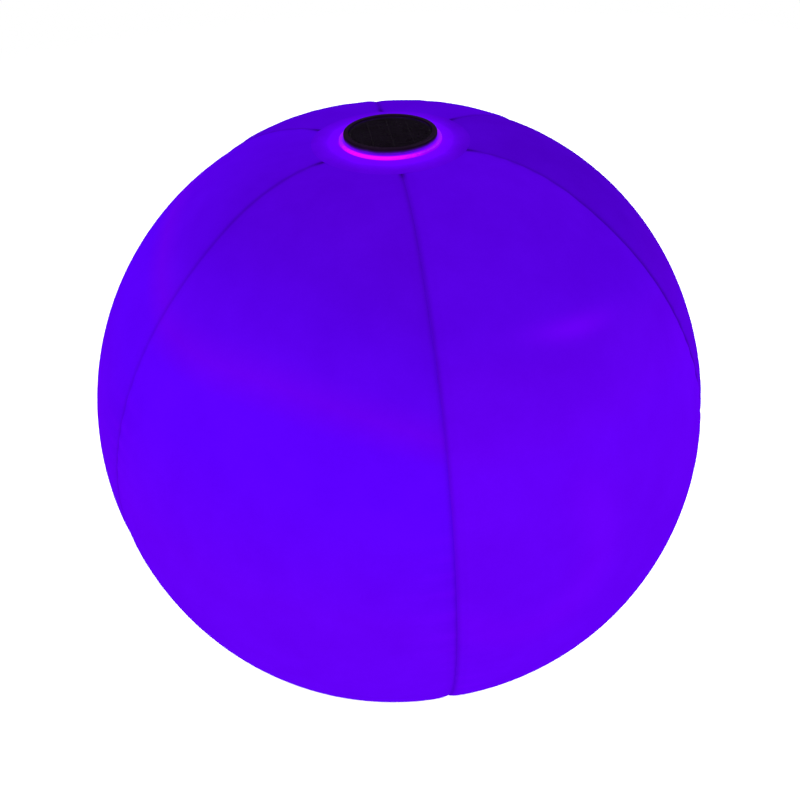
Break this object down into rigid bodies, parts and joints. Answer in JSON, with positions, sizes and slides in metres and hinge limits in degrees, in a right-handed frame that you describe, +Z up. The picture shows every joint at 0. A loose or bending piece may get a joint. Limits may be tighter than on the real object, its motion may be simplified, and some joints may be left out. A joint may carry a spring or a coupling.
{
  "type": "floating pool light",
  "caption": "Inflatable glowing film ball that floats upright, with a round solar light module set in its top patch.",
  "frame": {"origin": "centre of the flat contact patch under the ball, on the surface it stands on", "axes": "+Z up through the solar disc; a welded seam of the ball faces -Y"},
  "size_m": [0.38, 0.38, 0.3658],
  "materials": {
    "violet_film": "smooth glossy vinyl film, lit from inside",
    "inner_film": "clear vinyl film",
    "clear_plastic": "clear moulded plastic, edge lit",
    "soft_valve_plastic": "soft translucent vinyl moulding",
    "white_plastic": "satin white moulding",
    "frosted_lens": "frosted translucent plastic",
    "black_plastic": "satin black moulding",
    "solar_glaze": "clear epoxy glaze",
    "solar_silicon": "dark blue-black silicon",
    "circuit_board": "green board, matt mask",
    "component_black": "moulded black package",
    "led_package": "white package with a lit window",
    "bright_metal": "bright zinc plate",
    "contact_metal": "nickel-plated spring strip",
    "cell_jacket": "steel can in a green sleeve",
    "red_lead": "insulated wire",
    "black_lead": "insulated wire",
    "seal_rubber": "soft silicone",
    "button_rubber": "soft grey silicone",
    "cast_weight": "plain cast disc"
  },
  "bodies": {
    "ball": {"gore_panel_1": "violet_film", "gore_panel_2": "violet_film", "gore_panel_3": "violet_film", "gore_panel_4": "violet_film", "gore_panel_5": "violet_film", "gore_panel_6": "violet_film", "top_end_patch": "violet_film", "bottom_end_patch": "violet_film", "ballast_weight": "cast_weight", "ballast_pocket": "inner_film", "clear_cup": "clear_plastic", "valve_body": "soft_valve_plastic", "stopper_strap": "soft_valve_plastic"},
    "light_module": {"module_housing": "white_plastic", "housing_seal": "seal_rubber", "bezel_ring": "black_plastic", "solar_substrate": "circuit_board", "solar_cell_1": "solar_silicon", "solar_cell_2": "solar_silicon", "solar_cell_3": "solar_silicon", "solar_cell_4": "solar_silicon", "solar_cover": "solar_glaze", "base_lens": "frosted_lens", "base_screw_1": "bright_metal", "base_screw_2": "bright_metal", "base_screw_3": "bright_metal", "light_board": "circuit_board", "colour_led_1": "led_package", "colour_led_2": "led_package", "colour_led_3": "led_package", "colour_led_4": "led_package", "control_chip": "component_black", "inductor": "component_black", "capacitor": "bright_metal", "rechargeable_cell": "cell_jacket", "cell_cradle": "white_plastic", "contact_strip_plus": "contact_metal", "contact_strip_minus": "contact_metal", "solar_lead_red": "red_lead", "solar_lead_black": "black_lead", "switch_body": "component_black", "button_guard": "seal_rubber"},
    "button": {"power_button": "button_rubber", "switch_plunger": "black_plastic"},
    "stopper": {"valve_stopper": "soft_valve_plastic"},
    "flap": {"check_flap": "soft_valve_plastic"}
  },
  "joints": [
    {"name": "module_lift", "type": "slide", "parent": "ball", "child": "light_module", "axis": [0, 0, 1], "range_m": [0, 0.03]},
    {"name": "button_press", "type": "slide", "parent": "light_module", "child": "button", "axis": [0, 0, 1], "range_m": [0, 0.0005], "stiffness_N_per_m": 2000},
    {"name": "stopper_pull", "type": "slide", "parent": "ball", "child": "stopper", "axis": [0.4415, 0.7647, -0.4695], "range_m": [0, 0.012], "deforming": ["stopper_strap"]},
    {"name": "flap_open", "type": "hinge", "parent": "ball", "child": "flap", "pos_m": [0.07765, 0.13449, 0.1032], "axis": [-0.866, 0.5, 0], "range_deg": [0, 45]}
  ]
}
